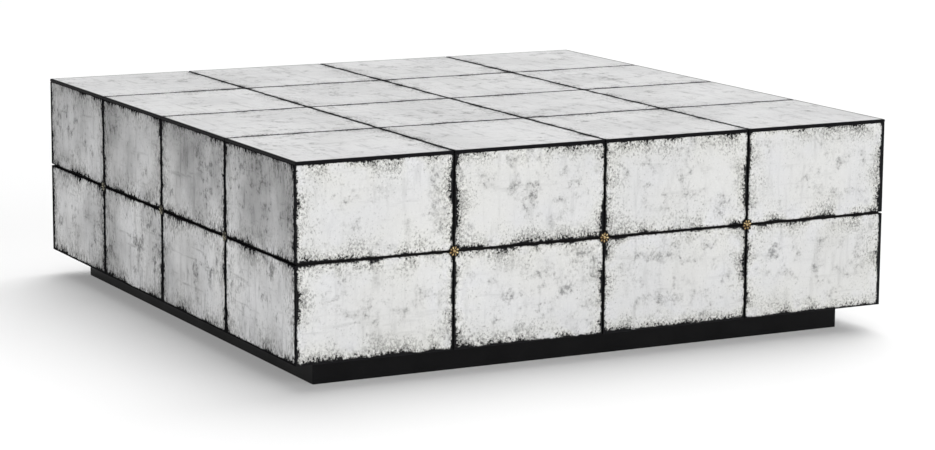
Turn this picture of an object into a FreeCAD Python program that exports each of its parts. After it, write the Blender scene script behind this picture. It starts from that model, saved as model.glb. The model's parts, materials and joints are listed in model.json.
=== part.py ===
import FreeCAD, Part
import os
import Sketcher
from FreeCAD import Placement, Rotation, Vector

# A low square table: a hollow board carcass clad all over in antiqued mirror panes, with
# brass rosettes where four side panes meet, standing on a recessed plinth with four
# levelling feet inside it. Millimetres, +Z up, the front towards -Y. The origin is on the
# floor under the middle of the table.

DRIVING_SIZES = (
    ("table_side", "1219", "width and depth of the mirrored block"),
    ("table_height", "406", "floor to the top of the mirrors"),
    ("plinth_height", "50", "floor to the underside of the block"),
    ("plinth_inset", "59", "block face to plinth face"),
    ("pane_columns", "4", "panes along each side of the table"),
    ("glass_depth", "5", "thickness of a mirror pane"),
    ("glass_arris", "0.8", "ground edge round the face of a pane"),
    ("joint_gap", "3", "open joint between two panes"),
    ("lid_gap", "0.5", "open joint under the top panes"),
    ("top_board_depth", "18", "thickness of the board under the top panes"),
    ("wall_depth", "15", "thickness of the four walls"),
    ("bottom_board_depth", "12", "thickness of the carcass floor"),
    ("rib_depth", "12", "thickness of the inner ribs"),
    ("rib_offset", "202", "middle of the table to a rib"),
    ("lap_clearance", "0.2", "play in the halving joints of the ribs"),
    ("corner_block_side", "40", "glue blocks in the carcass corners"),
    ("plinth_board_depth", "18", "thickness of the plinth boards"),
    ("plinth_block_side", "72", "corner blocks that hold the feet"),
    ("plinth_block_lift", "11.5", "floor to the underside of those blocks"),
    ("petal_count", "8", "petals round a rosette"),
    ("petal_ring_radius", "7.3", "rosette centre to petal centre"),
    ("petal_radius", "2.7", "half the width of a petal"),
    ("petal_depth", "1.4", "thickness of the petals"),
    ("rosette_hub_radius", "5.6", "raised middle of a rosette"),
    ("rosette_hub_depth", "2.4", "height of that middle"),
    ("rosette_screw_radius", "1.3", "shank of the rosette screw"),
    ("rosette_screw_bite", "12", "its length inside the wall"),
    ("rosette_head_radius", "2.5", "its domed head"),
    ("rosette_head_depth", "1.5", "height of the domed head"),
    ("carcass_screw_radius", "2.5", "shank of a carcass screw"),
    ("carcass_screw_length", "50", "length of a carcass screw"),
    ("carcass_screw_offset", "457", "middle of a wall to its outer screws"),
    ("plinth_screw_radius", "2.25", "shank of a plinth screw"),
    ("plinth_screw_length", "48", "length of a plinth screw"),
    ("plinth_screw_offset", "24", "middle of a plinth block to its screws"),
    ("running_clearance", "0.05", "radial play of a turning fit"),
    ("stem_radius", "4", "threaded stem of a levelling foot"),
    ("stem_top", "47", "floor to the top of the stem, screwed in"),
    ("stem_neck_radius", "3", "waist of the stem inside the pad"),
    ("stem_head_radius", "6", "round head held in the pad"),
    ("stem_head_depth", "2.5", "thickness of that head"),
    ("stem_head_lift", "1.5", "underside of the pad to the head"),
    ("collar_flats", "13", "hexagon collar, across flats"),
    ("collar_depth", "4", "thickness of the collar"),
    ("collar_gap", "0.2", "pad to collar"),
    ("pad_radius", "17", "foot pad"),
    ("pad_depth", "6", "thickness of the pad"),
    ("pad_chamfer", "1", "broken edges of the pad"),
    ("pad_floor_gap", "1", "floor to the pad, screwed in"),
    ("nut_barrel_radius", "5.4", "tee nut barrel"),
    ("nut_length", "11", "tee nut, flange and barrel"),
    ("nut_flange_radius", "11", "tee nut flange"),
    ("nut_flange_depth", "1.5", "thickness of the flange"),
    ("block_bore_radius", "4.6", "clearance bore above the nut"),
)

# The four sides in the order in which a quarter turn about +Z carries one to the next.
SIDES = ("front", "right", "back", "left")

doc = FreeCAD.newDocument("mirrored_table")
sheet = doc.addObject("Spreadsheet::Sheet", "Sizes")
for row, (alias, number, meaning) in enumerate(DRIVING_SIZES, start=1):
    sheet.set(f"A{row}", meaning)
    sheet.set(f"B{row}", number)
    sheet.setAlias(f"B{row}", alias)
doc.recompute()

nodes = []

# Lengths worked out from the sheet, as expressions.
PITCH = "(Sizes.table_side / Sizes.pane_columns)"
HALF = "(Sizes.table_side / 2)"
GLASS_TOP = "(Sizes.table_height - Sizes.glass_depth)"
MID_JOINT = "((Sizes.table_height + Sizes.plinth_height) / 2)"
CARCASS_HALF = "(Sizes.table_side / 2 - Sizes.glass_depth)"
WALL_FOOT = "(Sizes.plinth_height + Sizes.bottom_board_depth)"
WALL_HEAD = "(Sizes.table_height - Sizes.glass_depth - Sizes.top_board_depth)"
INNER_HALF = "(Sizes.table_side / 2 - Sizes.glass_depth - Sizes.wall_depth)"
PLINTH_HALF = "(Sizes.table_side / 2 - Sizes.plinth_inset)"
FOOT_OFFSET = f"({PLINTH_HALF} - Sizes.plinth_board_depth - Sizes.plinth_block_side / 2)"
COLLAR_FOOT = "(Sizes.pad_floor_gap + Sizes.pad_depth + Sizes.collar_gap)"
HEAD_FOOT = "(Sizes.pad_floor_gap + Sizes.stem_head_lift)"


def worth(expression):
    """The number that an expression has now."""
    return float(sheet.evalExpression(expression))


def bind(item, **expressions):
    """Bind properties of an object to expressions; x, y and z mean its place."""
    for name, expression in expressions.items():
        path = f"Placement.Base.{name}" if name in ("x", "y", "z") else name
        item.setExpression(path, expression)
    return item


def turned(item, axis, angle):
    """Turn an object about an axis through its own origin, before its place is bound."""
    item.Placement = Placement(Vector(), Rotation(axis, angle))
    return item


def piece(item, label):
    """Name a finished sub-part, which makes it a node."""
    item.Label = label
    nodes.append(item)
    return item


def box(name, length, width, height, **place):
    item = doc.addObject("Part::Box", name)
    return bind(item, Length=length, Width=width, Height=height, **place)


def cylinder(name, radius, height, **place):
    item = doc.addObject("Part::Cylinder", name)
    return bind(item, Radius=radius, Height=height, **place)


def cone(name, low_radius, high_radius, height, **place):
    item = doc.addObject("Part::Cone", name)
    return bind(item, Radius1=low_radius, Radius2=high_radius, Height=height, **place)


def fuse(name, *shapes):
    item = doc.addObject("Part::MultiFuse", name)
    item.Shapes = list(shapes)
    return item


def cut(name, base, tool):
    item = doc.addObject("Part::Cut", name)
    item.Base = base
    item.Tool = tool
    return item


def copy_of(source, name, angle=0.0, axis=Vector(0, 0, 1), **place):
    """A placed copy of a form."""
    item = doc.addObject("App::Link", name)
    item.LinkedObject = source
    return bind(turned(item, axis, angle), **place)


def group(label, copies):
    """Separate equal solids that share one node."""
    item = doc.addObject("Part::Compound", label)
    item.Links = copies
    return piece(item, label)


def origin_plane(body, role):
    return next(f for f in body.Origin.OriginFeatures if f.Role == role)


def sketch_on(body, role, name):
    sketch = body.newObject("Sketcher::SketchObject", name)
    sketch.AttachmentSupport = (origin_plane(body, role), [""])
    sketch.MapMode = "FlatFace"
    return sketch


def draw_outline(sketch, left, front, width, depth, start_mitre, end_mitre):
    """Four-sided plan: a face edge along X, and a back edge shortened at a mitred end."""
    x0, y0, along, back = (worth(e) for e in (left, front, width, depth))
    start = back if start_mitre else 0
    end = back if end_mitre else 0
    corners = [
        Vector(x0, y0, 0),
        Vector(x0 + along, y0, 0),
        Vector(x0 + along - end, y0 + back, 0),
        Vector(x0 + start, y0 + back, 0),
    ]
    for i in range(4):
        sketch.addGeometry(Part.LineSegment(corners[i], corners[(i + 1) % 4]))
    for i in range(4):
        sketch.addConstraint(Sketcher.Constraint("Coincident", i, 2, (i + 1) % 4, 1))
    sketch.addConstraint(Sketcher.Constraint("Horizontal", 0))
    sketch.addConstraint(Sketcher.Constraint("Horizontal", 2))
    sizes = [
        ("left", Sketcher.Constraint("DistanceX", -1, 1, 0, 1, x0), left),
        ("front", Sketcher.Constraint("DistanceY", -1, 1, 0, 1, y0), front),
        ("width", Sketcher.Constraint("DistanceX", 0, 1, 0, 2, along), width),
        ("depth", Sketcher.Constraint("DistanceY", 0, 1, 3, 1, back), depth),
    ]
    if start_mitre:
        mitre = Sketcher.Constraint("DistanceX", 0, 1, 3, 1, start)
        sizes.append(("start_mitre", mitre, depth))
    else:
        sketch.addConstraint(Sketcher.Constraint("Vertical", 3))
    if end_mitre:
        mitre = Sketcher.Constraint("DistanceX", 1, 2, 1, 1, end)
        sizes.append(("end_mitre", mitre, depth))
    else:
        sketch.addConstraint(Sketcher.Constraint("Vertical", 1))
    for name, constraint, expression in sizes:
        index = sketch.addConstraint(constraint)
        sketch.renameConstraint(index, name)
        sketch.setExpression(f"Constraints.{name}", expression)


def slab(name, outline, height, mitres=(False, False)):
    """A body padded up from a four-sided plan; outline is left, front, width, depth."""
    body = doc.addObject("PartDesign::Body", name)
    sketch = sketch_on(body, "XY_Plane", f"{name}_plan")
    draw_outline(sketch, *outline, *mitres)
    pad = body.newObject("PartDesign::Pad", f"{name}_pad")
    pad.Profile = sketch
    bind(pad, Length=height)
    return body


def edges_on(shape, axis, level):
    """Names of the edges that lie wholly at one level along an axis (0 is X, 1 Y, 2 Z)."""
    names = []
    for number, edge in enumerate(shape.Edges, start=1):
        if all(abs(vertex.Point[axis] - level) < 1e-6 for vertex in edge.Vertexes):
            names.append(f"Edge{number}")
    return names


def grind_face(body, axis, level):
    """Grind the arris round the face of a pane."""
    arris = body.newObject("PartDesign::Chamfer", f"{body.Name}_arris")
    arris.Base = (body.Group[-2], edges_on(body.Group[-2].Shape, axis, level))
    bind(arris, Size="Sizes.glass_arris")
    body.Tip = arris


def pane_start(column):
    """Where a pane starts along its side; the outer panes run out to the corner."""
    joint = " + Sizes.joint_gap / 2" if column > 0 else ""
    return f"{column} * {PITCH}{joint}"


def pane_width(column, columns):
    inner_edges = (column > 0) + (column < columns - 1)
    return f"{PITCH} - {inner_edges} * Sizes.joint_gap / 2"


def corner_place(quarter):
    """The table corner at which a side starts, for a side turned by quarter turns."""
    x = HALF if quarter in (1, 2) else f"-{HALF}"
    y = HALF if quarter in (2, 3) else f"-{HALF}"
    return {"x": x, "y": y}


def top_mirrors(columns):
    """A grid of square panes that covers the whole top."""
    bodies = []
    for row in range(columns):
        for column in range(columns):
            outline = (
                pane_start(column),
                pane_start(row),
                pane_width(column, columns),
                pane_width(row, columns),
            )
            body = slab(f"top_mirror_{row + 1}_{column + 1}", outline, "Sizes.glass_depth")
            bind(body, z=GLASS_TOP, **corner_place(0))
            bodies.append(body)
    doc.recompute()
    for body in bodies:
        grind_face(body, 2, worth("Sizes.glass_depth"))
        piece(body, body.Name)


def side_mirrors(columns):
    """Two rows of panes on each side, mitred where two sides meet."""
    low_height = f"{MID_JOINT} - Sizes.joint_gap / 2 - Sizes.plinth_height"
    high_foot = f"({MID_JOINT} + Sizes.joint_gap / 2)"
    high_height = f"{GLASS_TOP} - Sizes.lid_gap - {high_foot}"
    rows = (("low", "Sizes.plinth_height", low_height), ("high", high_foot, high_height))
    pairs = []
    for quarter, side in enumerate(SIDES):
        for column in range(columns):
            pair = []
            for row, foot, height in rows:
                outline = (
                    pane_start(column),
                    "0",
                    pane_width(column, columns),
                    "Sizes.glass_depth",
                )
                mitres = (column == 0, column == columns - 1)
                name = f"{side}_pane_{row}_{column + 1}"
                body = slab(name, outline, height, mitres)
                turned(body, Vector(0, 0, 1), 90 * quarter)
                bind(body, z=foot, **corner_place(quarter))
                pair.append(body)
            pairs.append((f"{side}_mirrors_{column + 1}", pair))
    doc.recompute()
    for label, pair in pairs:
        for body in pair:
            grind_face(body, 1, 0.0)
        group(label, pair)


def carcass_boards():
    """The closed box of boards behind the mirrors."""
    outer = f"2 * {CARCASS_HALF}"
    low = f"-{CARCASS_HALF}"
    top = box("top_board", outer, outer, "Sizes.top_board_depth", x=low, y=low, z=WALL_HEAD)
    piece(top, "top_board")
    floor = box(
        "bottom_board", outer, outer, "Sizes.bottom_board_depth",
        x=low, y=low, z="Sizes.plinth_height",
    )
    piece(floor, "bottom_board")
    height = f"{WALL_HEAD} - {WALL_FOOT}"
    inner = f"2 * {INNER_HALF}"
    for side, y in (("front", low), ("back", INNER_HALF)):
        wall = box(f"{side}_wall", outer, "Sizes.wall_depth", height, x=low, y=y, z=WALL_FOOT)
        piece(wall, f"{side}_wall")
    for side, x in (("left", low), ("right", INNER_HALF)):
        wall = box(
            f"{side}_wall", "Sizes.wall_depth", inner, height,
            x=x, y=f"-{INNER_HALF}", z=WALL_FOOT,
        )
        piece(wall, f"{side}_wall")


def rib_form(name, notched_from_top):
    """One rib along X, halved where the two crossing ribs pass."""
    height = f"({WALL_HEAD} - {WALL_FOOT})"
    plank = box(
        f"{name}_plank", f"2 * {INNER_HALF}", "Sizes.rib_depth", height,
        x=f"-{INNER_HALF}", y="-Sizes.rib_depth / 2",
    )
    notches = []
    for sign in ("-", ""):
        notch = box(
            f"{name}_notch", "Sizes.rib_depth + Sizes.lap_clearance",
            "2 * Sizes.rib_depth", f"{height} / 2 + Sizes.lap_clearance",
            x=f"{sign}Sizes.rib_offset - (Sizes.rib_depth + Sizes.lap_clearance) / 2",
            y="-Sizes.rib_depth",
            z=f"{height} / 2 - Sizes.lap_clearance / 2" if notched_from_top
            else "-Sizes.lap_clearance / 2",
        )
        notches.append(notch)
    return cut(f"{name}_form", plank, fuse(f"{name}_notches", *notches))


def ribs():
    """Two ribs each way, halved over each other, between the floor and the top board."""
    long_rib = rib_form("long_rib", True)
    cross_rib = rib_form("cross_rib", False)
    long_ribs = []
    cross_ribs = []
    for number, sign in enumerate(("-", ""), start=1):
        offset = f"{sign}Sizes.rib_offset"
        long_ribs.append(copy_of(long_rib, f"long_rib_{number}", y=offset, z=WALL_FOOT))
        cross_ribs.append(
            copy_of(cross_rib, f"cross_rib_{number}", 90.0, x=offset, z=WALL_FOOT)
        )
    group("long_ribs", long_ribs)
    group("cross_ribs", cross_ribs)


def four_corners(offset):
    """The corners of a square about the middle, each with its quarter turn."""
    return (
        ("front_left", 0, f"-{offset}", f"-{offset}"),
        ("front_right", 90, offset, f"-{offset}"),
        ("back_right", 180, offset, offset),
        ("back_left", 270, f"-{offset}", offset),
    )


def carcass_corner_blocks():
    side = "Sizes.corner_block_side"
    form = box(
        "corner_block_form", side, side, f"{WALL_HEAD} - {WALL_FOOT}",
        x=f"-{side} / 2", y=f"-{side} / 2",
    )
    copies = []
    for corner, angle, x, y in four_corners(f"({INNER_HALF} - {side} / 2)"):
        copies.append(copy_of(form, f"corner_block_{corner}", angle, x=x, y=y, z=WALL_FOOT))
    group("carcass_corner_blocks", copies)


def plinth():
    """Four mitred boards with a rail across the middle."""
    depth = "Sizes.plinth_board_depth"
    outline = ("Sizes.plinth_inset", "Sizes.plinth_inset", f"2 * {PLINTH_HALF}", depth)
    for quarter, side in enumerate(SIDES):
        body = slab(f"plinth_{side}", outline, "Sizes.plinth_height", (True, True))
        turned(body, Vector(0, 0, 1), 90 * quarter)
        bind(body, **corner_place(quarter))
        piece(body, f"plinth_{side}")
    inner = f"({PLINTH_HALF} - {depth})"
    rail = box(
        "plinth_cross_rail", f"2 * {inner}", depth, "Sizes.plinth_height",
        x=f"-{inner}", y=f"-{depth} / 2",
    )
    piece(rail, "plinth_cross_rail")


def plinth_corner_blocks():
    """Blocks bored for a tee nut and the stem of a levelling foot."""
    side = "Sizes.plinth_block_side"
    height = "(Sizes.plinth_height - Sizes.plinth_block_lift)"
    blank = box("plinth_block_blank", side, side, height, x=f"-{side} / 2", y=f"-{side} / 2")
    hollow = fuse(
        "plinth_block_hollow",
        cylinder("stem_bore", "Sizes.block_bore_radius", height),
        cylinder("barrel_seat", "Sizes.nut_barrel_radius", "Sizes.nut_length"),
        cylinder("flange_seat", "Sizes.nut_flange_radius", "Sizes.nut_flange_depth"),
    )
    form = cut("plinth_block_form", blank, hollow)
    copies = []
    for corner, angle, x, y in four_corners(FOOT_OFFSET):
        name = f"plinth_block_{corner}"
        copies.append(copy_of(form, name, angle, x=x, y=y, z="Sizes.plinth_block_lift"))
    group("plinth_corner_blocks", copies)


def leveller_nuts():
    """Steel tee nuts pressed up into the corner blocks."""
    outside = fuse(
        "nut_outside",
        cylinder("nut_flange", "Sizes.nut_flange_radius", "Sizes.nut_flange_depth"),
        cylinder("nut_barrel", "Sizes.nut_barrel_radius", "Sizes.nut_length"),
    )
    bore = cylinder(
        "nut_bore", "Sizes.stem_radius + Sizes.running_clearance", "Sizes.nut_length"
    )
    form = cut("nut_form", outside, bore)
    copies = []
    for corner, angle, x, y in four_corners(FOOT_OFFSET):
        name = f"leveller_nut_{corner}"
        copies.append(copy_of(form, name, angle, x=x, y=y, z="Sizes.plinth_block_lift"))
    group("leveller_nuts", copies)


def hexagon(name, across_flats, height, **place):
    item = doc.addObject("Part::Prism", name)
    item.Polygon = 6
    return bind(item, Circumradius=f"{across_flats} / sqrt(3)", Height=height, **place)


def stem_form():
    """Round head, waist, hexagon collar and threaded shank, from the bottom up."""
    return fuse(
        "stem_form",
        cylinder("stem_head", "Sizes.stem_head_radius", "Sizes.stem_head_depth", z=HEAD_FOOT),
        cylinder(
            "stem_waist", "Sizes.stem_neck_radius", f"{COLLAR_FOOT} - {HEAD_FOOT}",
            z=HEAD_FOOT,
        ),
        hexagon("stem_collar", "Sizes.collar_flats", "Sizes.collar_depth", z=COLLAR_FOOT),
        cylinder(
            "stem_shank", "Sizes.stem_radius", f"Sizes.stem_top - {COLLAR_FOOT}",
            z=COLLAR_FOOT,
        ),
    )


def pad_form():
    """A round pad with broken edges, bored and undercut to hold the head of the stem."""
    edge = "Sizes.pad_chamfer"
    inner = "Sizes.pad_radius - Sizes.pad_chamfer"
    foot = "Sizes.pad_floor_gap"
    head_seat = "Sizes.stem_head_radius + Sizes.running_clearance"
    disc = fuse(
        "pad_disc",
        cone("pad_foot", inner, "Sizes.pad_radius", edge, z=foot),
        cylinder(
            "pad_band", "Sizes.pad_radius", f"Sizes.pad_depth - 2 * {edge}",
            z=f"{foot} + {edge}",
        ),
        cone(
            "pad_head", "Sizes.pad_radius", inner, edge,
            z=f"{foot} + Sizes.pad_depth - {edge}",
        ),
    )
    seat = fuse(
        "pad_seat",
        cylinder(
            "pad_undercut", head_seat,
            "Sizes.stem_head_depth + 2 * Sizes.running_clearance",
            z=f"{HEAD_FOOT} - Sizes.running_clearance",
        ),
        cylinder(
            "pad_throat", "Sizes.stem_neck_radius + Sizes.running_clearance",
            f"{COLLAR_FOOT} - {HEAD_FOOT}", z=HEAD_FOOT,
        ),
    )
    return cut("pad_form", disc, seat)


def levelling_feet():
    """Four feet: each a pad that slides out of the plinth and a stem that turns in it."""
    stem = stem_form()
    pad = pad_form()
    for corner, angle, x, y in four_corners(FOOT_OFFSET):
        for part, form in (("stem", stem), ("pad", pad)):
            label = f"leveller_{part}_{corner}"
            single = doc.addObject("Part::Compound", label)
            single.Links = [copy_of(form, f"{label}_copy", angle, x=x, y=y)]
            piece(single, label)


def rosette_form():
    """A flat-backed flower in the XY plane: petals round a domed, bored hub."""
    body = doc.addObject("PartDesign::Body", "rosette_form")
    dome = sketch_on(body, "XZ_Plane", "rosette_section")
    radius, rim, height, bore = (
        worth("Sizes.rosette_hub_radius"),
        worth("Sizes.petal_depth"),
        worth("Sizes.rosette_hub_depth"),
        worth("Sizes.rosette_screw_radius + Sizes.running_clearance"),
    )
    points = [
        Vector(bore, 0, 0),
        Vector(radius, 0, 0),
        Vector(radius, rim, 0),
        Vector(bore, height, 0),
    ]
    for i in range(4):
        dome.addGeometry(Part.LineSegment(points[i], points[(i + 1) % 4]))
    for i in range(4):
        dome.addConstraint(Sketcher.Constraint("Coincident", i, 2, (i + 1) % 4, 1))
    dome.addConstraint(Sketcher.Constraint("PointOnObject", 0, 1, -1))
    dome.addConstraint(Sketcher.Constraint("Horizontal", 0))
    dome.addConstraint(Sketcher.Constraint("Vertical", 1))
    dome.addConstraint(Sketcher.Constraint("Vertical", 3))
    sizes = (
        ("bore", Sketcher.Constraint("DistanceX", -1, 1, 0, 1, bore),
         "Sizes.rosette_screw_radius + Sizes.running_clearance"),
        ("hub", Sketcher.Constraint("DistanceX", -1, 1, 1, 1, radius),
         "Sizes.rosette_hub_radius"),
        ("rim", Sketcher.Constraint("DistanceY", 1, 1, 1, 2, rim), "Sizes.petal_depth"),
        ("height", Sketcher.Constraint("DistanceY", 0, 1, 3, 1, height),
         "Sizes.rosette_hub_depth"),
    )
    for name, constraint, expression in sizes:
        index = dome.addConstraint(constraint)
        dome.renameConstraint(index, name)
        dome.setExpression(f"Constraints.{name}", expression)
    hub = body.newObject("PartDesign::Revolution", "rosette_hub")
    hub.Profile = dome
    hub.ReferenceAxis = (dome, ["V_Axis"])
    hub.Angle = 360
    doc.recompute()
    petal = sketch_on(body, "XY_Plane", "petal_plan")
    ring = worth("Sizes.petal_ring_radius")
    petal.addGeometry(Part.Circle(Vector(ring, 0, 0), Vector(0, 0, 1), worth("Sizes.petal_radius")))
    petal.addConstraint(Sketcher.Constraint("PointOnObject", 0, 3, -1))
    for name, constraint, expression in (
        ("ring", Sketcher.Constraint("DistanceX", -1, 1, 0, 3, ring),
         "Sizes.petal_ring_radius"),
        ("round", Sketcher.Constraint("Radius", 0, worth("Sizes.petal_radius")),
         "Sizes.petal_radius"),
    ):
        index = petal.addConstraint(constraint)
        petal.renameConstraint(index, name)
        petal.setExpression(f"Constraints.{name}", expression)
    lobe = body.newObject("PartDesign::Pad", "petal_lobe")
    lobe.Profile = petal
    bind(lobe, Length="Sizes.petal_depth")
    doc.recompute()
    flower = body.newObject("PartDesign::PolarPattern", "petals")
    flower.Originals = [lobe]
    flower.Axis = (petal, ["N_Axis"])
    flower.Angle = 360
    bind(flower, Occurrences="Sizes.petal_count")
    body.Tip = flower
    return body


def rosette_screw_form():
    """Screw along Z, its shank behind the rosette and its domed head in front."""
    reach = "(Sizes.rosette_screw_bite + Sizes.glass_depth)"
    shank = cylinder(
        "rosette_shank", "Sizes.rosette_screw_radius",
        f"{reach} + Sizes.rosette_hub_depth", z=f"-{reach}",
    )
    dome = doc.addObject("Part::Ellipsoid", "rosette_dome")
    bind(
        dome, Radius1="Sizes.rosette_head_depth", Radius2="Sizes.rosette_head_radius",
        Radius3="Sizes.rosette_head_radius", z="Sizes.rosette_hub_depth",
    )
    dome.Angle1 = 0
    return fuse("rosette_screw_form", shank, dome)


def rosettes(columns):
    """A rosette and its screw at each crossing of the side joints."""
    flowers = []
    screws = []
    flower = rosette_form()
    screw = rosette_screw_form()
    outward = Rotation(Vector(1, 0, 0), 90)
    for quarter, side in enumerate(SIDES):
        turn = Rotation(Vector(0, 0, 1), 90 * quarter)
        for crossing in range(1, columns):
            along = f"({crossing} * {PITCH} - {HALF})"
            places = (
                {"x": along, "y": f"-{HALF}"},
                {"x": HALF, "y": along},
                {"x": f"-{along}", "y": HALF},
                {"x": f"-{HALF}", "y": f"-{along}"},
            )
            for form, copies, kind in (
                (flower, flowers, "rosette"),
                (screw, screws, "rosette_screw"),
            ):
                link = doc.addObject("App::Link", f"{kind}_{side}_{crossing}")
                link.LinkedObject = form
                link.Placement = Placement(Vector(), turn.multiply(outward))
                bind(link, z=MID_JOINT, **places[quarter])
                copies.append(link)
    group("rosettes", flowers)
    group("rosette_screws", screws)


def wood_screw(name, radius, length):
    """Countersunk screw along -Z with its flat head at the origin."""
    shank = cylinder(f"{name}_shank", radius, length, z=f"-({length})")
    head = cone(f"{name}_head", radius, f"2 * {radius}", radius, z=f"-({radius})")
    return fuse(f"{name}_form", shank, head)


def carcass_screws():
    """Three screws along each wall through the top board, and three through the floor."""
    form = wood_screw("carcass_screw", "Sizes.carcass_screw_radius", "Sizes.carcass_screw_length")
    line = f"({INNER_HALF} + Sizes.wall_depth / 2)"
    steps = ("-Sizes.carcass_screw_offset", "0", "Sizes.carcass_screw_offset")
    spots = []
    for step in steps:
        spots += [(step, f"-{line}"), (step, line), (f"-{line}", step), (line, step)]
    copies = []
    for number, (x, y) in enumerate(spots, start=1):
        copies.append(copy_of(form, f"top_screw_{number}", x=x, y=y, z=GLASS_TOP))
        copies.append(
            copy_of(
                form, f"floor_screw_{number}", 180.0, Vector(1, 0, 0),
                x=x, y=y, z="Sizes.plinth_height",
            )
        )
    group("carcass_screws", copies)


def plinth_screws():
    """Two screws up through each plinth block into the carcass floor."""
    form = wood_screw("plinth_screw", "Sizes.plinth_screw_radius", "Sizes.plinth_screw_length")
    offset = "Sizes.plinth_screw_offset"
    copies = []
    for corner, angle, x, y in four_corners(FOOT_OFFSET):
        for sign in ("+", "-"):
            across = f"{y} {sign} {offset}" if angle in (0, 180) else f"{y} - ({sign}{offset})"
            copies.append(
                copy_of(
                    form, f"plinth_screw_{corner}", 180.0, Vector(1, 0, 0),
                    x=f"{x} {sign} {offset}", y=across, z="Sizes.plinth_block_lift",
                )
            )
    group("plinth_screws", copies)


pane_columns = int(worth("Sizes.pane_columns"))
top_mirrors(pane_columns)
side_mirrors(pane_columns)
carcass_boards()
ribs()
carcass_corner_blocks()
plinth()
plinth_corner_blocks()
leveller_nuts()
levelling_feet()
rosettes(pane_columns)
carcass_screws()
plinth_screws()
doc.recompute()

for item in doc.Objects:
    if "Invalid" in item.State or "Error" in item.State:
        raise RuntimeError(f"{item.Label} did not compute: {item.State}")
for node in nodes:
    if node.Shape.isNull() or not node.Shape.isValid() or not node.Shape.Solids:
        raise RuntimeError(f"{node.Label} has no valid solid")

os.makedirs("parts", exist_ok=True)
for node in nodes:
    node.Shape.exportStep(f"parts/{node.Label}.step")
print(f"{len(nodes)} nodes, {sum(len(node.Shape.Solids) for node in nodes)} solids")
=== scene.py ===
import json
import math

import bmesh
import bpy
from mathutils import Matrix, Vector


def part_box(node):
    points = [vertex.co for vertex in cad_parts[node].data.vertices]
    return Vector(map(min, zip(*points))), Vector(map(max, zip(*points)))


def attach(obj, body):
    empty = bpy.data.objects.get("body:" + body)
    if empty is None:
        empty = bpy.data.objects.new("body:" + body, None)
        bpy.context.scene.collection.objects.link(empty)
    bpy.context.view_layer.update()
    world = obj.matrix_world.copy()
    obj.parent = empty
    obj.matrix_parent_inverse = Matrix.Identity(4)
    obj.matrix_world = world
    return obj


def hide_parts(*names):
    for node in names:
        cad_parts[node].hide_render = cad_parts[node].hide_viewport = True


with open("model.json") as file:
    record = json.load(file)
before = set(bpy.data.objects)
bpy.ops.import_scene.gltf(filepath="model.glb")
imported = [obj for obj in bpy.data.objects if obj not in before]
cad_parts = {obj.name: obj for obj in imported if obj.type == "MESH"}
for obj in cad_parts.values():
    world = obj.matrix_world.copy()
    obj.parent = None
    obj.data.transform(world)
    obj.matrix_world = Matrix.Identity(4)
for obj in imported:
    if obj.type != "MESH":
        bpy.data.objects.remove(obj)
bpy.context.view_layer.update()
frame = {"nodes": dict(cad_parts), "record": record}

# A low square table clad in antiqued mirror panes, on a black plinth. Metres, +Z up, the
# front towards -Y. Every length below is read from the frame or is a real size.

MM = 0.001
TABLE = "table"
SIDES = ("front", "right", "back", "left")
AXIS_X, AXIS_Y, AXIS_Z = 0, 1, 2

# The block and its joints, from the panes of the frame.
PANE_LOW, PANE_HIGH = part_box("top_mirror_1_1")
HALF_TABLE = -PANE_LOW.x
TABLE_TOP = PANE_HIGH.z
PITCH = HALF_TABLE / 2
SIDE_LOW, SIDE_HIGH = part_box("front_mirrors_2")
BLOCK_FOOT = SIDE_LOW.z
MID_JOINT = (TABLE_TOP + BLOCK_FOOT) / 2
JOINT_GAP = 2 * (-SIDE_HIGH.x)
SIDE_HEAD = SIDE_HIGH.z + JOINT_GAP / 2

# A rosette's petals, the buds between them and the beads round its eye.
PETALS, BEADS = 8, 12
PETAL_ROOT, PETAL_REACH, PETAL_WIDTH = 3.5 * MM, 9.9 * MM, 1.95 * MM
PETAL_FOOT, PETAL_CROWN = 0.8 * MM, 2.9 * MM
BUD_CIRCLE, BUD_HEIGHT, BUD_RADIUS = 7.4 * MM, 1.1 * MM, 0.85 * MM
BEAD_CIRCLE, BEAD_HEIGHT, BEAD_RADIUS = 3.35 * MM, 1.45 * MM, 0.62 * MM
ROSETTE_TURN = 0.35    # radians from one rosette to the next, so that no two match


# ---------------------------------------------------------------- node helpers

def new_material(name):
    material = bpy.data.materials.new(name)
    material.use_nodes = True
    tree = material.node_tree
    return material, tree, tree.nodes["Principled BSDF"]


def put(tree, value, socket):
    """Set a socket to a number or colour, or link it to another node's output."""
    if isinstance(value, bpy.types.NodeSocket):
        tree.links.new(value, socket)
    else:
        socket.default_value = value


def maths(tree, operation, first, second=0.0, third=0.0):
    node = tree.nodes.new("ShaderNodeMath")
    node.operation = operation
    for value, socket in zip((first, second, third), node.inputs):
        put(tree, value, socket)
    return node.outputs[0]


def between(tree, value, low, high, to_low=0.0, to_high=1.0):
    """Smooth step of a value between two limits."""
    node = tree.nodes.new("ShaderNodeMapRange")
    node.interpolation_type = "SMOOTHSTEP"
    for given, socket in zip((value, low, high, to_low, to_high), node.inputs):
        put(tree, given, socket)
    return node.outputs[0]


def noise(tree, place, scale, detail=2.0, roughness=0.5):
    node = tree.nodes.new("ShaderNodeTexNoise")
    put(tree, place, node.inputs["Vector"])
    node.inputs["Scale"].default_value = scale
    node.inputs["Detail"].default_value = detail
    node.inputs["Roughness"].default_value = roughness
    return node.outputs["Fac"]


def mixed(tree, factor, first, second):
    """Blend of two colours."""
    node = tree.nodes.new("ShaderNodeMix")
    node.data_type = "RGBA"
    put(tree, factor, node.inputs[0])
    put(tree, first, node.inputs[6])
    put(tree, second, node.inputs[7])
    return node.outputs[2]


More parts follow.
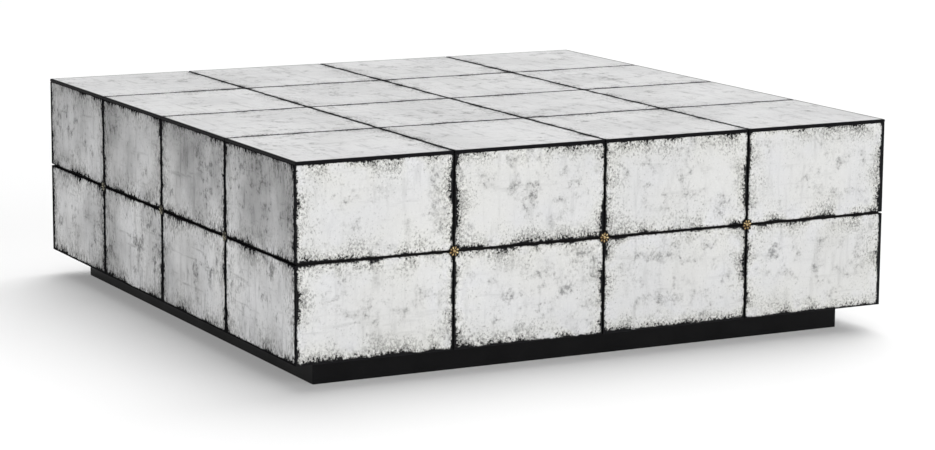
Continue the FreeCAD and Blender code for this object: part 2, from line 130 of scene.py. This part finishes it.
def stretched(tree, place, factors):
    """A place scaled by its own factor along each axis."""
    node = tree.nodes.new("ShaderNodeVectorMath")
    node.operation = "MULTIPLY"
    put(tree, place, node.inputs[0])
    node.inputs[1].default_value = factors
    return node.outputs[0]


def bump(tree, height, strength, distance, shader, socket="Normal"):
    node = tree.nodes.new("ShaderNodeBump")
    node.inputs["Strength"].default_value = strength
    node.inputs["Distance"].default_value = distance
    put(tree, height, node.inputs["Height"])
    tree.links.new(node.outputs[0], shader.inputs[socket])


def object_place(tree):
    return tree.nodes.new("ShaderNodeTexCoord").outputs["Object"]


# ---------------------------------------------------------------- antiqued mirror

# How each face is antiqued. tone: plain, cool and warm silver, set face by face to how bright
# that face is lit, so partly painted light and shade. heavy: weight of the speckles from sparse
# to dense places. run: stretch of the grain upwards. border: solid black each side of a joint,
# and upright and far_end what is added at the upright joints and at the face's far end. tear and
# spray: how far lumps and grains shift the border. smoke, marks and veil: strength of the clouds,
# wipe marks and broad grey. The last strength is painted shade: grey that darkens the sides
# towards their top.
FRONT_LOOK = {
    "tone": ((0.685, 0.685, 0.677, 1), (0.675, 0.678, 0.684, 1), (0.675, 0.673, 0.612, 1)),
    "heavy": (0.45, 1.8), "run": 0.8,
    "border": 2.3 * MM, "upright": 0.3 * MM, "far_end": 4.6 * MM,
    "tear": 10 * MM, "spray": 18 * MM,
    "smoke": 1.45, "marks": 0.17, "veil": 0.07, "painted_top_shade": 0.0,
    "specular": 0.06, "coat": 0.07,
}
SIDE_LOOK = {
    "tone": ((0.79, 0.79, 0.79, 1), (0.782, 0.785, 0.792, 1), (0.79, 0.79, 0.77, 1)),
    "heavy": (0.9, 1.8), "run": 0.42,
    "border": 2.8 * MM, "upright": 1.3 * MM, "far_end": 5.5 * MM,
    "tear": 6 * MM, "spray": 10 * MM,
    "smoke": 1.9, "marks": 0.36, "veil": 0.5, "painted_top_shade": 0.40,
    "specular": 0.0, "coat": 0.03,
}
TOP_LOOK = {
    "tone": ((0.70, 0.70, 0.70, 1), (0.695, 0.695, 0.698, 1), (0.69, 0.69, 0.688, 1)),
    "heavy": (0.55, 1.6), "run": 1.0,
    "border": 3.2 * MM,
    "tear": 10 * MM, "spray": 18 * MM,
    "smoke": 1.25, "marks": 0.30, "veil": 0.16,
    "specular": 0.03, "coat": 0.04,
}

# The tarnish near the joints.
SIDE_CORNER, TOP_CORNER = 11 * MM, 14 * MM      # rounding of the silver in a pane's corners
MIDDLE_LESS, HEAD_LESS = 0.7 * MM, 2 * MM       # less black at a side's middle joint and head
ROSETTE_GROUND = 8 * MM                         # radius of the tarnish round a rosette
NEAR_FADE, FAR_FADE = 12 * MM, 32 * MM          # how far the dark and the faint speckles reach
RIM_BLACK, RIM_CLEAR = 3.5 * MM, 5.5 * MM       # the top's line along its outer edges
FLAT_GLASS = 0.9                                # less of the normal than this is a cut edge
# Painted shade starts here and darkens the sides towards their top.
PAINTED_SHADE_START = MID_JOINT - 20 * MM               # where the grey towards the top begins
CLOUD_MOST = 0.55                               # the darkest that a cloud gets
PATTERN_JUMP = (9.0, 9.0, 9.0)                  # how far apart two panes' patterns may be read
TARNISH = (0.006, 0.006, 0.007, 1.0)


def nearest_line(tree, part):
    """Distance to the nearest of the joints at 0 and at one pitch each side of it."""
    middle = maths(tree, "ABSOLUTE", part)
    outer = maths(tree, "ABSOLUTE", maths(tree, "SUBTRACT", middle, PITCH))
    return maths(tree, "MINIMUM", middle, outer)


def joint_distance(tree, parts, across, up, look):
    """Distance in metres to the nearest joint of a face whose panes lie along two axes.

    The sides also count their outer edges, and the ground that each rosette covers."""
    if up == AXIS_Z:
        return side_distance(tree, parts, across, look)
    column, row = nearest_line(tree, parts[across]), nearest_line(tree, parts[up])
    return maths(tree, "SMOOTH_MIN", column, row, TOP_CORNER)


def side_distance(tree, parts, across, look):
    """The same for a side, which is two panes high."""
    from_start = maths(tree, "ADD", parts[across], HALF_TABLE)
    column = maths(tree, "PINGPONG", from_start, PITCH / 2)
    foot = maths(tree, "SUBTRACT", parts[AXIS_Z], BLOCK_FOOT)
    middle = maths(tree, "ABSOLUTE", maths(tree, "SUBTRACT", parts[AXIS_Z], MID_JOINT))
    head = maths(tree, "SUBTRACT", SIDE_HEAD + HEAD_LESS, parts[AXIS_Z])
    row = maths(tree, "MINIMUM", foot, maths(tree, "ADD", middle, MIDDLE_LESS))
    row = maths(tree, "MINIMUM", row, head)
    far_end = maths(tree, "SUBTRACT", HALF_TABLE - look["far_end"], parts[across])
    column = maths(tree, "MINIMUM", maths(tree, "SUBTRACT", column, look["upright"]), far_end)
    lines = maths(tree, "SMOOTH_MIN", column, row, SIDE_CORNER)
    aside = nearest_line(tree, parts[across])
    squares = maths(tree, "ADD", maths(tree, "POWER", aside, 2.0), maths(tree, "POWER", middle, 2.0))
    rosette = maths(tree, "SUBTRACT", maths(tree, "SQRT", squares), ROSETTE_GROUND)
    return maths(tree, "MINIMUM", lines, rosette)


def pane_place(tree, part):
    """Whole number of the pane that a place is in, along one axis."""
    return maths(tree, "FLOOR", maths(tree, "DIVIDE", maths(tree, "ADD", part, HALF_TABLE), PITCH))


def pane_colour(tree, parts, across, up):
    """A different random colour for each pane of a face, from its column and row."""
    column = pane_place(tree, parts[across])
    if up == AXIS_Z:
        row = maths(tree, "GREATER_THAN", parts[up], MID_JOINT)
    else:
        row = pane_place(tree, parts[up])
    joined = tree.nodes.new("ShaderNodeCombineXYZ")
    put(tree, column, joined.inputs[0])
    put(tree, row, joined.inputs[1])
    joined.inputs[2].default_value = across + 3 * up
    random = tree.nodes.new("ShaderNodeTexWhiteNoise")
    random.noise_dimensions = "3D"
    put(tree, joined.outputs[0], random.inputs["Vector"])
    return random.outputs["Color"]


def moved_by(tree, place, offset):
    """A place moved by another node's vector."""
    node = tree.nodes.new("ShaderNodeVectorMath")
    node.operation = "ADD"
    tree.links.new(place, node.inputs[0])
    tree.links.new(offset, node.inputs[1])
    return node.outputs[0]


def along_axis(axis, factor):
    """Factors for stretched() that scale one axis and leave the others."""
    factors = [1.0, 1.0, 1.0]
    factors[axis] = factor
    return factors


def black_border(tree, edge, lump, grain, look):
    """Solid at the joint, and ragged by the lumps and grains further out."""
    torn_off = maths(tree, "MULTIPLY", maths(tree, "SUBTRACT", lump, 0.5), look["tear"])
    torn_off = maths(tree, "MULTIPLY_ADD", maths(tree, "SUBTRACT", grain, 0.5), look["spray"], torn_off)
    ragged = maths(tree, "MULTIPLY_ADD", torn_off, between(tree, edge, 0.0, 3 * MM), edge)
    width = look["border"]
    return between(tree, ragged, width, 1.7 * width, 1.0, 0.0)


def speckled_fringe(tree, edge, fade, drift, mottled, look):
    """Grains over a threshold that rises away from the joint: dark near it, fainter far out."""
    weight = between(tree, drift, 0.36, 0.68, *look["heavy"])
    threshold = maths(tree, "MULTIPLY_ADD", maths(tree, "MULTIPLY", fade, weight), -0.36, 0.74)
    near = between(tree, maths(tree, "SUBTRACT", mottled, threshold), -0.01, 0.10)
    far_fade = maths(tree, "EXPONENT", maths(tree, "DIVIDE", edge, -FAR_FADE))
    far_threshold = maths(tree, "MULTIPLY_ADD", maths(tree, "MULTIPLY", far_fade, weight), -0.28, 0.69)
    far = between(tree, maths(tree, "SUBTRACT", mottled, far_threshold), -0.06, 0.16, 0.0, 0.5)
    return maths(tree, "MAXIMUM", near, far)


def clouds(tree, spot, mottled, look):
    """Grey smudges inside the pane, torn at their edges and with a grain in them."""
    cloud = between(tree, noise(tree, spot, 32.0, 7.0, 0.72), 0.48, 0.72)
    gather = between(tree, noise(tree, spot, 9.0, 2.0, 0.5), 0.40, 0.62, 0.22, 1.0)
    torn = between(tree, noise(tree, spot, 120.0, 3.0, 0.7), 0.40, 0.62, 0.30, 1.0)
    grit = between(tree, mottled, 0.34, 0.62, 0.35, 1.0)
    shape = maths(tree, "MULTIPLY", cloud, gather)
    smoke = maths(tree, "MULTIPLY", shape, maths(tree, "MULTIPLY", torn, grit))
    return maths(tree, "MINIMUM", maths(tree, "MULTIPLY", smoke, look["smoke"]), CLOUD_MOST)


def wipe_marks(tree, spot, across, up, look):
    """Soft runs down the pane, and a few wipe marks across it."""
    down = stretched(tree, spot, along_axis(up, 0.16))
    along = stretched(tree, spot, along_axis(across, 0.12))
    wiped = between(tree, noise(tree, down, 75.0, 3.0, 0.6), 0.50, 0.80)
    rubbed = between(tree, noise(tree, along, 95.0, 3.0, 0.6), 0.54, 0.82)
    return maths(tree, "MULTIPLY", maths(tree, "MAXIMUM", wiped, rubbed), look["marks"])


def top_rim(tree, parts, across, up):
    """The top's black line along its outer edges, thin and clean."""
    sides = [maths(tree, "SUBTRACT", HALF_TABLE, maths(tree, "ABSOLUTE", parts[a])) for a in (across, up)]
    return between(tree, maths(tree, "MINIMUM", *sides), RIM_BLACK, RIM_CLEAR, 1.0, 0.0)


def cut_edges(tree, facing):
    """The cut edges and the arris of the glass, which are blacked."""
    normal = tree.nodes.new("ShaderNodeSeparateXYZ")
    source = tree.nodes.new("ShaderNodeTexCoord")
    tree.links.new(source.outputs["Normal"], normal.inputs[0])
    flat = maths(tree, "ABSOLUTE", normal.outputs[facing])
    return maths(tree, "LESS_THAN", flat, FLAT_GLASS)


def silver(tree, place, spot, fade, drift, mottled, high, look):
    """Cool or plain from place to place, warmer near the joints, with bright flecks between
    the grains of the fringe, a smoky veil over broad patches, and painted shade from high."""
    plain, cool, warm = look["tone"]
    tint = mixed(tree, between(tree, noise(tree, spot, 7.0, 1.0), 0.42, 0.62), cool, plain)
    near_edge = maths(tree, "MULTIPLY", fade, between(tree, drift, 0.4, 0.6))
    warmth = maths(tree, "MULTIPLY", maths(tree, "POWER", near_edge, 0.4), 0.7)
    tint = mixed(tree, warmth, tint, warm)
    thin = between(tree, mottled, 0.46, 0.32)
    clean = maths(tree, "MULTIPLY", thin, maths(tree, "MULTIPLY_ADD", fade, 1.0, 0.25))
    tint = mixed(tree, clean, tint, shade(plain, 1.2))
    veil = between(tree, noise(tree, place, 5.0, 4.0, 0.55), 0.36, 0.66)
    # The veil also takes the painted shade that greys the sides towards their top.
    veil = maths(tree, "MULTIPLY_ADD", veil, look["veil"], high)
    return mixed(tree, veil, tint, shade(plain, 0.3))


def shade(colour, factor):
    """A colour made lighter or darker."""
    return [factor * part for part in colour[:3]] + [1.0]


def antiqued_mirror(name, across, up, facing, look):
    """Silvered glass, tarnished black along its joints, speckled near them and clouded inside."""
    material, tree, shader = new_material(name)
    place = object_place(tree)
    split = tree.nodes.new("ShaderNodeSeparateXYZ")
    tree.links.new(place, split.inputs[0])
    parts = list(split.outputs)
    edge = joint_distance(tree, parts, across, up, look)
    fade = maths(tree, "EXPONENT", maths(tree, "DIVIDE", edge, -NEAR_FADE))

    # Each pane was antiqued by itself, so the pattern starts afresh in each.
    offset = stretched(tree, pane_colour(tree, parts, across, up), PATTERN_JUMP)
    spot = moved_by(tree, place, offset)

    # The silvering ran a little downwards as it was etched.
    run_spot = stretched(tree, spot, along_axis(up, look["run"]))
    grain = noise(tree, run_spot, 250.0, 3.0, 0.7)
    fleck = noise(tree, run_spot, 560.0, 1.0, 0.6)
    lump = noise(tree, spot, 75.0, 6.0, 0.75)
    drift = noise(tree, spot, 17.0, 3.0, 0.55)
    mottled = maths(tree, "MULTIPLY_ADD", maths(tree, "SUBTRACT", fleck, 0.5), 0.35, grain)

    border = black_border(tree, edge, lump, grain, look)
    fringe = speckled_fringe(tree, edge, fade, drift, mottled, look)
    smoke = clouds(tree, spot, mottled, look)
    marks = wipe_marks(tree, spot, across, up, look)
    worn = maths(tree, "MAXIMUM", maths(tree, "MAXIMUM", border, fringe), maths(tree, "ADD", smoke, marks))
    worn = maths(tree, "MINIMUM", worn, 1.0)
    # On the sides, high is painted shade: grey that grows towards their top.
    high = 0.0
    if up == AXIS_Z:
        high = between(tree, parts[up], PAINTED_SHADE_START, SIDE_HEAD, 0.0, look["painted_top_shade"])
    else:
        worn = maths(tree, "MAXIMUM", worn, top_rim(tree, parts, across, up))
    worn = maths(tree, "MAXIMUM", worn, cut_edges(tree, facing))

    tint = silver(tree, place, spot, fade, drift, mottled, high, look)
    put(tree, mixed(tree, worn, tint, TARNISH), shader.inputs["Base Color"])
    put(tree, maths(tree, "MULTIPLY_ADD", worn, -0.22, 0.22), shader.inputs["Metallic"])
    put(tree, maths(tree, "MULTIPLY_ADD", worn, 0.15, 0.36), shader.inputs["Roughness"])
    shader.inputs["Specular IOR Level"].default_value = look["specular"]
    shader.inputs["Coat Weight"].default_value = look["coat"]
    shader.inputs["Coat Roughness"].default_value = 0.05
    shader.inputs["Coat IOR"].default_value = 1.5
    bump(tree, maths(tree, "MULTIPLY", worn, -1.0), 0.35, 0.25 * MM, shader)
    bump(tree, noise(tree, spot, 9.0, 2.0), 0.06, 1.0 * MM, shader, "Coat Normal")
    return material


# ---------------------------------------------------------------- other materials

def board_black(name):
    """Board stained matt black: faint fibres and faded patches."""
    material, tree, shader = new_material(name)
    place = object_place(tree)
    fibre = noise(tree, place, 900.0, 3.0, 0.6)
    patch = noise(tree, place, 14.0, 3.0)
    faded = between(tree, patch, 0.35, 0.7)
    colour = mixed(tree, faded, (0.006, 0.006, 0.006, 1), (0.014, 0.013, 0.012, 1))
    put(tree, colour, shader.inputs["Base Color"])
    put(tree, between(tree, fibre, 0.3, 0.7, 0.75, 0.95), shader.inputs["Roughness"])
    shader.inputs["Specular IOR Level"].default_value = 0.25
    bump(tree, fibre, 0.3, 0.2 * MM, shader)
    return material


def lacquer_black(name):
    """Satin black lacquer on board: fine orange peel, a little dust and dull patches."""
    material, tree, shader = new_material(name)
    place = object_place(tree)
    peel = noise(tree, place, 420.0, 2.0, 0.5)
    patch = noise(tree, place, 9.0, 4.0, 0.6)
    dust = between(tree, noise(tree, place, 650.0, 2.0, 0.7), 0.66, 0.74, 0.0, 0.35)
    dull = between(tree, patch, 0.3, 0.7)
    colour = mixed(tree, dull, (0.0045, 0.0045, 0.005, 1), (0.008, 0.008, 0.0085, 1))
    dusty = maths(tree, "MULTIPLY", dust, between(tree, patch, 0.5, 0.7))
    colour = mixed(tree, dusty, colour, (0.05, 0.048, 0.045, 1))
    put(tree, colour, shader.inputs["Base Color"])
    put(tree, between(tree, patch, 0.25, 0.75, 0.38, 0.52), shader.inputs["Roughness"])
    shader.inputs["Specular IOR Level"].default_value = 0.1
    bump(tree, peel, 0.12, 0.15 * MM, shader)
    return material


def raw_board(name):
    """Unfinished board: pressed fibres, sawn streaks."""
    material, tree, shader = new_material(name)
    place = object_place(tree)
    fibre = noise(tree, place, 700.0, 4.0, 0.65)
    streak = noise(tree, stretched(tree, place, (0.06, 1.0, 1.0)), 160.0, 3.0)
    colour = mixed(tree, between(tree, fibre, 0.35, 0.65), (0.30, 0.20, 0.12, 1), (0.46, 0.34, 0.22, 1))
    colour = mixed(tree, between(tree, streak, 0.5, 0.7, 0.0, 0.5), colour, (0.24, 0.16, 0.10, 1))
    put(tree, colour, shader.inputs["Base Color"])
    shader.inputs["Roughness"].default_value = 0.85
    bump(tree, fibre, 0.4, 0.25 * MM, shader)
    return material


def aged_brass(name, cast, rubbed_and_painted_glint):
    """Cast brass nearly black with age: cast colour on its crests, and rubbed spots in a pale colour that
    is partly a painted highlight.
    """
    material, tree, shader = new_material(name)
    place = object_place(tree)
    split = tree.nodes.new("ShaderNodeSeparateXYZ")
    tree.links.new(place, split.inputs[0])
    patina = noise(tree, place, 300.0, 3.0, 0.6)
    grime = noise(tree, place, 1300.0, 2.0, 0.6)
    height = maths(tree, "MULTIPLY_ADD", maths(tree, "SUBTRACT", patina, 0.5), 3.0 * MM, split.outputs[2])
    crest = between(tree, height, 1.5 * MM, 2.4 * MM)
    handled = between(tree, noise(tree, place, 210.0, 1.0), 0.44, 0.60)
    rubbed = maths(tree, "MULTIPLY", between(tree, height, 1.9 * MM, 2.8 * MM), handled)
    colour = mixed(tree, crest, (0.010, 0.009, 0.006, 1), cast)
    # Painted highlight: the pale colour on rubbed crests stands in for glints, as well as for wear.
    colour = mixed(tree, rubbed, colour, rubbed_and_painted_glint)
    put(tree, colour, shader.inputs["Base Color"])
    put(tree, maths(tree, "MULTIPLY_ADD", crest, 0.15, 0.3), shader.inputs["Metallic"])
    put(tree, between(tree, grime, 0.3, 0.7, 0.22, 0.42), shader.inputs["Roughness"])
    bump(tree, grime, 0.2, 0.08 * MM, shader)
    return material


def zinc_steel(name):
    """Zinc plated steel with a grainy, faintly iridescent passivation."""
    material, tree, shader = new_material(name)
    place = object_place(tree)
    grain = noise(tree, place, 1500.0, 3.0, 0.6)
    patch = noise(tree, place, 160.0, 2.0)
    colour = mixed(tree, between(tree, patch, 0.35, 0.65), (0.55, 0.56, 0.54, 1), (0.66, 0.64, 0.56, 1))
    put(tree, colour, shader.inputs["Base Color"])
    shader.inputs["Metallic"].default_value = 1.0
    put(tree, between(tree, grain, 0.3, 0.7, 0.28, 0.45), shader.inputs["Roughness"])
    bump(tree, grain, 0.15, 0.05 * MM, shader)
    return material


def moulded_nylon(name):
    """Matt black moulded nylon with a fine spark-eroded texture."""
    material, tree, shader = new_material(name)
    place = object_place(tree)
    texture = noise(tree, place, 1800.0, 2.0, 0.6)
    colour = mixed(tree, texture, (0.018, 0.018, 0.018, 1), (0.035, 0.035, 0.034, 1))
    put(tree, colour, shader.inputs["Base Color"])
    put(tree, between(tree, texture, 0.3, 0.7, 0.5, 0.65), shader.inputs["Roughness"])
    bump(tree, texture, 0.3, 0.06 * MM, shader)
    return material


def studio_floor(name):
    """Pale, even floor, which glows a little so that the shadow on it stays light."""
    material, tree, shader = new_material(name)
    shader.inputs["Base Color"].default_value = (0.61, 0.61, 0.61, 1)
    shader.inputs["Emission Color"].default_value = (1, 1, 1, 1)
    shader.inputs["Emission Strength"].default_value = 0.24
    shader.inputs["Roughness"].default_value = 0.6
    shader.inputs["Specular IOR Level"].default_value = 0.2
    return material


# ---------------------------------------------------------------- pieces

def paint(thing, material):
    thing.data.materials.clear()
    thing.data.materials.append(material)


SAME_POINT = 0.01 * MM
SAME_PLANE = math.radians(1)
SHARP = 0.5             # radians between two faces that makes their edge a corner
EASED_EDGE = 1.0 * MM


def eased_copy(node, width, material):
    """The same board with its edges eased, standing for the CAD node."""
    source = frame["nodes"][node]
    mesh = bmesh.new()
    mesh.from_mesh(source.data)
    bmesh.ops.remove_doubles(mesh, verts=mesh.verts, dist=SAME_POINT)
    bmesh.ops.dissolve_limit(mesh, angle_limit=SAME_PLANE, verts=mesh.verts, edges=mesh.edges)
    sharp = [e for e in mesh.edges if len(e.link_faces) == 2 and e.calc_face_angle() > SHARP]
    eased = bmesh.ops.bevel(mesh, geom=sharp, offset=width, segments=3, profile=0.5, affect="EDGES")
    for face in mesh.faces:
        face.smooth = False
    for face in eased["faces"]:
        face.smooth = True
    data = bpy.data.meshes.new(f"{node}_eased")
    mesh.to_mesh(data)
    mesh.free()
    piece = bpy.data.objects.new(f"{node}_eased", data)
    bpy.context.collection.objects.link(piece)
    paint(piece, material)
    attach(piece, TABLE)
    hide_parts(node)


def petal_section(s):
    """Half width and height of a petal, as shares of their most, at a share s of its length."""
    belly = 0.30 + 0.70 * math.sin(math.pi * min(1.0, 0.12 + 0.62 * s))
    rounded_tip = math.sqrt(1 - 0.96 * s ** 6)
    arch = math.sin(math.pi * (0.10 + 0.80 * s)) ** 0.8
    return belly * rounded_tip, arch


def petal(mesh, angle):
    """One petal on a grid: arched from root to tip, ridged each side of a middle vein."""
    steps, sides = 10, 8
    spin = Matrix.Rotation(angle, 3, "Z")
    top, low = [], []
    for i in range(steps + 1):
        s = i / steps
        radius = PETAL_ROOT + (PETAL_REACH - PETAL_ROOT) * s
        spread, arch = petal_section(s)
        row = []
        for j in range(-sides // 2, sides // 2 + 1):
            t = 2 * j / sides
            vein = 0.30 * math.exp(-(t / 0.28) ** 2) * (1 - 0.5 * s)
            height = PETAL_FOOT + (PETAL_CROWN - PETAL_FOOT) * arch * (1 - t * t - vein)
            row.append((radius, t * PETAL_WIDTH * spread, height))
        top.append([mesh.verts.new(spin @ Vector(p)) for p in row])
        low.append([mesh.verts.new(spin @ Vector((p[0], p[1], 0.5 * PETAL_FOOT))) for p in row])
    for i in range(steps):
        for j in range(sides):
            mesh.faces.new((top[i][j], top[i + 1][j], top[i + 1][j + 1], top[i][j + 1]))
            mesh.faces.new((low[i][j], low[i][j + 1], low[i + 1][j + 1], low[i + 1][j]))
        mesh.faces.new((top[i][0], low[i][0], low[i + 1][0], top[i + 1][0]))
        mesh.faces.new((top[i][sides], top[i + 1][sides], low[i + 1][sides], low[i][sides]))
    for j in range(sides):
        mesh.faces.new((top[0][j], top[0][j + 1], low[0][j + 1], low[0][j]))
        mesh.faces.new((top[steps][j], low[steps][j], low[steps][j + 1], top[steps][j + 1]))


def turned_form(mesh, profile, segments):
    """Solid of revolution about Z from a list of (radius, height)."""
    rings = []
    for radius, height in profile:
        if radius == 0.0:
            rings.append([mesh.verts.new((0.0, 0.0, height))])
            continue
        rings.append([
            mesh.verts.new((
                radius * math.cos(2 * math.pi * k / segments),
                radius * math.sin(2 * math.pi * k / segments),
                height,
            ))
            for k in range(segments)
        ])
    for low, high in zip(rings, rings[1:]):
        for k in range(segments):
            after = (k + 1) % segments
            if len(low) == 1:
                mesh.faces.new((low[0], high[after], high[k]))
            elif len(high) == 1:
                mesh.faces.new((low[k], low[after], high[0]))
            else:
                mesh.faces.new((low[k], low[after], high[after], high[k]))


# Radius and height in millimetres of the turned ground and the domed eye of a rosette.
ROSETTE_PROFILE = [
    (0.0, 0.0), (8.3, 0.0), (8.5, 0.45), (8.1, 0.95), (7.0, 0.8), (4.2, 0.9), (3.9, 1.1), (3.7, 1.0),
    (3.2, 0.95), (2.7, 1.7), (2.45, 2.7), (1.9, 3.4), (1.0, 3.8), (0.0, 3.9),
]


def rosette_mesh():
    """Cast flower: a dished ground, arched petals with buds between them, a beaded eye."""
    mesh = bmesh.new()
    turned_form(mesh, [(radius * MM, height * MM) for radius, height in ROSETTE_PROFILE], 48)
    for k in range(PETALS):
        angle = 2 * math.pi * k / PETALS
        petal(mesh, angle)
        gap = Matrix.Rotation(angle + math.pi / PETALS, 4, "Z")
        bud = gap @ Matrix.Translation(Vector((BUD_CIRCLE, 0, BUD_HEIGHT)))
        bud = bud @ Matrix.Diagonal(Vector((1.3, 0.75, 0.9, 1.0)))
        bmesh.ops.create_icosphere(mesh, subdivisions=2, radius=BUD_RADIUS, matrix=bud)
    for k in range(BEADS):
        angle = 2 * math.pi * k / BEADS
        centre = Vector((BEAD_CIRCLE * math.cos(angle), BEAD_CIRCLE * math.sin(angle), BEAD_HEIGHT))
        bead = Matrix.Translation(centre)
        bmesh.ops.create_icosphere(mesh, subdivisions=2, radius=BEAD_RADIUS, matrix=bead)
    bmesh.ops.recalc_face_normals(mesh, faces=mesh.faces)
    data = bpy.data.meshes.new("rosette")
    mesh.to_mesh(data)
    mesh.free()
    for face in data.polygons:
        face.use_smooth = True
    return data


def rosettes(warm, dull):
    """A flower at each crossing of the side joints, its back on the glass."""
    meshes = {}
    for finish in (warm, dull):
        meshes[finish] = rosette_mesh()
        meshes[finish].materials.append(finish)
    outward = Matrix.Rotation(math.pi / 2, 4, "X")
    for quarter, side in enumerate(SIDES):
        # The left and right flowers get the darker copy of the brass: painted shade.
        data = meshes[warm if side in ("front", "back") else dull]
        around = Matrix.Rotation(quarter * math.pi / 2, 4, "Z")
        for crossing in (1, 2, 3):
            along = crossing * PITCH - HALF_TABLE
            spin = Matrix.Rotation(ROSETTE_TURN * crossing + quarter, 4, "Z")
            flower = bpy.data.objects.new(f"rosette_{side}_{crossing}", data)
            bpy.context.collection.objects.link(flower)
            spot = Matrix.Translation(Vector((along, -HALF_TABLE, MID_JOINT)))
            flower.matrix_world = around @ spot @ outward @ spin
            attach(flower, TABLE)
            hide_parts("rosettes", "rosette_screws")


# ---------------------------------------------------------------- dressing the frame

# Cast colour and glint, partly painted highlight, of the two brasses. The darker one, for the
# left and the right, is a copy darkened as painted shade for those sides.
WARM_BRASS = ((0.28, 0.15, 0.045, 1), (1.0, 0.82, 0.45, 1))
SHADED_BRASS = ((0.055, 0.048, 0.03, 1), (0.62, 0.57, 0.42, 1))


def dress_frame():
    mirrors = {
        "top": antiqued_mirror("antiqued_mirror_top", AXIS_X, AXIS_Y, AXIS_Z, TOP_LOOK),
        "front": antiqued_mirror("antiqued_mirror_front", AXIS_X, AXIS_Z, AXIS_Y, FRONT_LOOK),
        "left": antiqued_mirror("antiqued_mirror_left", AXIS_Y, AXIS_Z, AXIS_X, SIDE_LOOK),
    }
    mirrors["back"] = mirrors["front"]
    mirrors["right"] = mirrors["left"]
    lacquer = lacquer_black("black_lacquer_satin")
    finishes = {
        "black_board": board_black("black_board_matt"),
        "raw_board": raw_board("raw_board_fibres"),
        "aged_brass": aged_brass("aged_brass_warm", *WARM_BRASS),
        "zinc_steel": zinc_steel("zinc_steel_passivated"),
        "nylon": moulded_nylon("nylon_moulded"),
    }
    slots = {s["node"]: s["material_slot"] for s in frame["record"]["subparts"]}
    for node, thing in frame["nodes"].items():
        if "_mirror" in node:
            paint(thing, mirrors[node.split("_")[0]])
        elif slots[node] == "black_lacquer":
            eased_copy(node, EASED_EDGE, lacquer)
        else:
            paint(thing, finishes[slots[node]])
    rosettes(finishes["aged_brass"], aged_brass("aged_brass_shaded_copy", *SHADED_BRASS))


# ---------------------------------------------------------------- studio

# The camera's direction and roll in degrees, its sensor and lens in millimetres, and how far
# it is from the block's front left foot, in table widths.
AZIMUTH, ELEVATION, ROLL = 27.7085, 10.1647, 0.3838
SENSOR_WIDTH, LENS = 36.0, 113.556
CAMERA_AWAY = (-1.6722, -3.7017, 0.9319)


def camera():
    """Standing view over the front left corner, with a long lens."""
    azimuth, elevation, roll = (math.radians(a) for a in (AZIMUTH, ELEVATION, ROLL))
    forward = Vector((
        math.sin(azimuth) * math.cos(elevation),
        math.cos(azimuth) * math.cos(elevation),
        -math.sin(elevation),
    ))
    right = forward.cross(Vector((0, 0, 1))).normalized()
    up = right.cross(forward)
    level_right = math.cos(roll) * right + math.sin(roll) * up
    level_up = -math.sin(roll) * right + math.cos(roll) * up
    data = bpy.data.cameras.new("camera")
    data.sensor_width = SENSOR_WIDTH
    data.lens = LENS
    data.clip_end = 200.0
    eye = bpy.data.objects.new("camera", data)
    turn = Matrix((level_right, level_up, -forward)).transposed()
    near_corner = Vector((-HALF_TABLE, -HALF_TABLE, BLOCK_FOOT))
    away = Vector(CAMERA_AWAY) * 2 * HALF_TABLE
    eye.matrix_world = Matrix.Translation(near_corner + away) @ turn.to_4x4()
    bpy.context.collection.objects.link(eye)
    bpy.context.scene.camera = eye


def sun(name, direction, strength, spread, glossy=True):
    """Distant soft light that shines along a direction. One that isn't glossy leaves no highlight."""
    data = bpy.data.lights.new(name, "SUN")
    data.energy = strength
    data.angle = math.radians(spread)
    lamp = bpy.data.objects.new(name, data)
    lamp.visible_glossy = glossy
    lamp.rotation_mode = "QUATERNION"
    lamp.rotation_quaternion = Vector(direction).to_track_quat("-Z", "Y")
    bpy.context.collection.objects.link(lamp)


def panel(name, place, aim, size, power):
    """Soft rectangular light at a place, aimed at a point."""
    data = bpy.data.lights.new(name, "AREA")
    data.shape = "RECTANGLE"
    data.size, data.size_y = size
    data.energy = power
    lamp = bpy.data.objects.new(name, data)
    lamp.location = place
    lamp.rotation_mode = "QUATERNION"
    lamp.rotation_quaternion = (Vector(aim) - Vector(place)).to_track_quat("-Z", "Y")
    lamp.visible_camera = False
    bpy.context.collection.objects.link(lamp)


FLOOR_SIZE = 120.0


def studio():
    """Floor, dim white world, five soft suns and a panel that lights the left side."""
    bpy.ops.mesh.primitive_plane_add(size=FLOOR_SIZE, location=(0, 0, 0))
    floor = bpy.context.object
    floor.name = "floor"
    paint(floor, studio_floor("floor_pale"))
    world = bpy.data.worlds.new("studio")
    world.use_nodes = True
    background = world.node_tree.nodes["Background"]
    background.inputs["Color"].default_value = (1, 1, 1, 1)
    background.inputs["Strength"].default_value = 0.13
    bpy.context.scene.world = world
    sun("key_light", (-0.50, -0.50, -1.0), 2.4, 50)
    sun("top_light", (0.0, 0.0, -1.0), 0.95, 60)
    sun("front_light", (-0.35, 1.0, -0.20), 1.56, 40, glossy=False)
    sun("right_light", (-1.0, 1.0, -0.25), 0.66, 40, glossy=False)
    sun("fill_light", (0.45, 0.60, -1.0), 0.35, 60)
    panel("left_light", (-3.2, -2.0, 0.7), (-HALF_TABLE, -0.1, 0.15), (2.6, 1.2), 17.5)
    bpy.context.scene.view_settings.view_transform = "Standard"


dress_frame()
camera()
studio()
